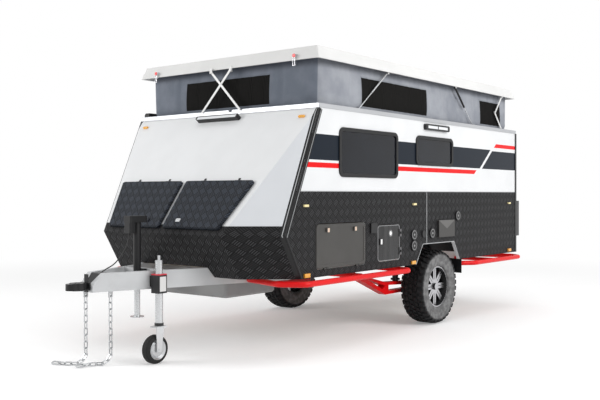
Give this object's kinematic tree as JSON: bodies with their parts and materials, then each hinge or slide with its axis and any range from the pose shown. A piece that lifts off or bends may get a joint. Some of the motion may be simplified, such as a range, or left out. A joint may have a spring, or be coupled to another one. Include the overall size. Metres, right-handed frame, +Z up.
{
  "type": "off-road camper trailer with a lift-up roof",
  "caption": "Single-axle off-road camper trailer with a raised pop-top roof on canvas walls, folding roof linkages, opening lockers and door, drawbar, jockey wheel, jack and spare wheel.",
  "frame": {"origin": "on the ground under the middle of the overall length and width", "axes": "+X forward to the hitch, +Y to the trailer left, +Z up"},
  "size_m": [6.2, 2.472, 2.875],
  "materials": {
    "shell_white": "gloss gelcoat over composite panel",
    "roof_white": "gloss moulded",
    "dark_plate": "black coated checker plate",
    "chassis_black": "satin black",
    "galvanised": "light galvanised grey",
    "hatch_dark": "satin gunmetal",
    "gloss_black": "gloss",
    "bar_red": "gloss red",
    "silver_trim": "brushed",
    "tyre": "matte",
    "rim_dark": "machined face, dark pockets",
    "black_plastic": "matte",
    "grey_plastic": "matte",
    "white_paint": "gloss",
    "strut_silver": "satin",
    "zinc": "zinc plated",
    "canvas_grey": "woven, matt",
    "window_dark": "tinted",
    "lamp_amber": "lens",
    "lamp_white": "lens",
    "board": "laminated board",
    "rubber": "matte"
  },
  "bodies": {
    "trailer": {"awning_cassette": "dark_plate", "can_holders": "dark_plate", "canvas": "canvas_grey", "chassis_rails": "galvanised", "checker_plates": "dark_plate", "corner_trims": "silver_trim", "coupling": "chassis_black", "cross_members": "galvanised", "drawbar": "galvanised", "filler_caps": "black_plastic", "floor": "board", "furniture": "board", "hinge_leaves": "silver_trim", "jack_body": "black_plastic", "jack_cable": "rubber", "jack_leg": "zinc", "jockey_clamp": "black_plastic", "jockey_leg": "zinc", "lamps": "lamp_amber", "nose_shell": "shell_white", "rear_bumper": "chassis_black", "roof_rim": "silver_trim", "safety_chains": "zinc", "scene_lights": "lamp_white", "side_bars": "bar_red", "spare_rim": "rim_dark", "spare_tyre": "tyre", "suspension": "chassis_black", "trailing_arms": "bar_red", "under_tank": "grey_plastic", "wall_left": "shell_white", "wall_rear": "shell_white", "wall_right": "shell_white", "wheel_wells": "black_plastic", "window_frames": "black_plastic", "window_glass": "window_dark"},
    "roof": {"roof_shell": "roof_white", "roof_vent": "black_plastic", "roof_latches": "black_plastic"},
    "wheel_left": {"tyre_left": "tyre", "rim_left": "rim_dark"},
    "wheel_right": {"tyre_right": "tyre", "rim_right": "rim_dark"},
    "scissors_a": {"scissor_a": "white_paint"},
    "scissors_b": {"scissor_b": "white_paint"},
    "front_tubes": {"strut_front_tube": "strut_silver"},
    "front_rods": {"strut_front_rod": "strut_silver"},
    "rear_tubes": {"strut_rear_tube": "chassis_black"},
    "rear_rods": {"strut_rear_rod": "strut_silver"},
    "upper_braces": {"brace_upper": "white_paint"},
    "lower_braces": {"brace_lower": "white_paint"},
    "door": {"entry_door": "shell_white"},
    "locker": {"locker_door": "hatch_dark"},
    "service": {"service_door": "gloss_black"},
    "kitchen": {"kitchen_hatch": "hatch_dark"},
    "lid_left": {"nose_lid_left": "dark_plate"},
    "lid_right": {"nose_lid_right": "dark_plate"},
    "jockey_swivel_fork": {"jockey_fork": "zinc"},
    "jockey_roller": {"jockey_wheel": "rubber"}
  },
  "joints": [
    {"name": "roof_lift", "type": "slide", "parent": "trailer", "child": "roof", "axis": [0, 0, 1], "range_m": [-0.372, 0], "deforming": ["canvas"]},
    {"name": "scissor_a_pivot", "type": "hinge", "parent": "roof", "child": "scissors_a", "pos_m": [1.3595, 0.118, 2.552], "axis": [1, 0, 0], "range_deg": [-45.7, 0]},
    {"name": "scissor_b_pivot", "type": "hinge", "parent": "roof", "child": "scissors_b", "pos_m": [1.366, -0.118, 2.552], "axis": [1, 0, 0], "range_deg": [0, 45.7]},
    {"name": "front_strut_pivot", "type": "hinge", "parent": "roof", "child": "front_tubes", "pos_m": [0.196, 0, 2.568], "axis": [0, 1, 0], "range_deg": [-35.5, 0]},
    {"name": "front_strut_stroke", "type": "slide", "parent": "front_tubes", "child": "front_rods", "axis": [0.7862, 0, -0.618], "range_m": [-0.1375, 0]},
    {"name": "rear_strut_pivot", "type": "hinge", "parent": "roof", "child": "rear_tubes", "pos_m": [-1.19, 0, 2.571], "axis": [0, 1, 0], "range_deg": [0, 40.2]},
    {"name": "rear_strut_stroke", "type": "slide", "parent": "rear_tubes", "child": "rear_rods", "axis": [-0.7326, 0, -0.6807], "range_m": [-0.1545, 0]},
    {"name": "upper_brace_pivot", "type": "hinge", "parent": "roof", "child": "upper_braces", "pos_m": [-2.368, 0, 2.567], "axis": [0, 1, 0], "range_deg": [-44.7, 0]},
    {"name": "lower_brace_pivot", "type": "hinge", "parent": "trailer", "child": "lower_braces", "pos_m": [-2.395, 0, 2.174], "axis": [0, 1, 0], "range_deg": [0, 45.6]},
    {"name": "wheel_left_spin", "type": "hinge", "parent": "trailer", "child": "wheel_left", "pos_m": [-0.87, 0.981, 0.396], "axis": [0, 1, 0], "continuous": true},
    {"name": "wheel_right_spin", "type": "hinge", "parent": "trailer", "child": "wheel_right", "pos_m": [-0.87, -0.981, 0.396], "axis": [0, 1, 0], "continuous": true},
    {"name": "jockey_swivel", "type": "hinge", "parent": "trailer", "child": "jockey_swivel_fork", "pos_m": [2.419, 0.31216, 0.33], "axis": [0, 0, 1], "continuous": true},
    {"name": "jockey_spin", "type": "hinge", "parent": "jockey_swivel_fork", "child": "jockey_roller", "pos_m": [2.464, 0.31216, 0.118], "axis": [0, 1, 0], "continuous": true},
    {"name": "entry_door_hinge", "type": "hinge", "parent": "trailer", "child": "door", "pos_m": [-1.367, -1.162, 1.45], "axis": [0, 0, 1], "range_deg": [0, 115]},
    {"name": "locker_hinge", "type": "hinge", "parent": "trailer", "child": "locker", "pos_m": [1.005, 1.162, 0.741], "axis": [-1, 0, 0], "range_deg": [0, 90]},
    {"name": "service_hinge", "type": "hinge", "parent": "trailer", "child": "service", "pos_m": [0.015, 1.162, 0.92], "axis": [0, 0, 1], "range_deg": [0, 110]},
    {"name": "kitchen_hinge", "type": "hinge", "parent": "trailer", "child": "kitchen", "pos_m": [0.805, -1.162, 1.333], "axis": [-1, 0, 0], "range_deg": [0, 90]},
    {"name": "lid_left_hinge", "type": "hinge", "parent": "trailer", "child": "lid_left", "pos_m": [1.81227, 0.43, 1.50659], "axis": [0, -1, 0], "range_deg": [0, 75]},
    {"name": "lid_right_hinge", "type": "hinge", "parent": "trailer", "child": "lid_right", "pos_m": [1.81227, -0.43, 1.50659], "axis": [0, -1, 0], "range_deg": [0, 75]}
  ],
  "couplings": [
    {"joint": "scissor_a_pivot", "follows": "roof_lift", "rad_per_m": 2.139},
    {"joint": "scissor_b_pivot", "follows": "roof_lift", "rad_per_m": -2.139},
    {"joint": "front_strut_pivot", "follows": "roof_lift", "rad_per_m": 1.658},
    {"joint": "front_strut_stroke", "follows": "roof_lift", "ratio": 0.3677},
    {"joint": "rear_strut_pivot", "follows": "roof_lift", "rad_per_m": -1.8814},
    {"joint": "rear_strut_stroke", "follows": "roof_lift", "ratio": 0.4137},
    {"joint": "upper_brace_pivot", "follows": "roof_lift", "rad_per_m": 2.088},
    {"joint": "lower_brace_pivot", "follows": "roof_lift", "rad_per_m": -2.13}
  ]
}
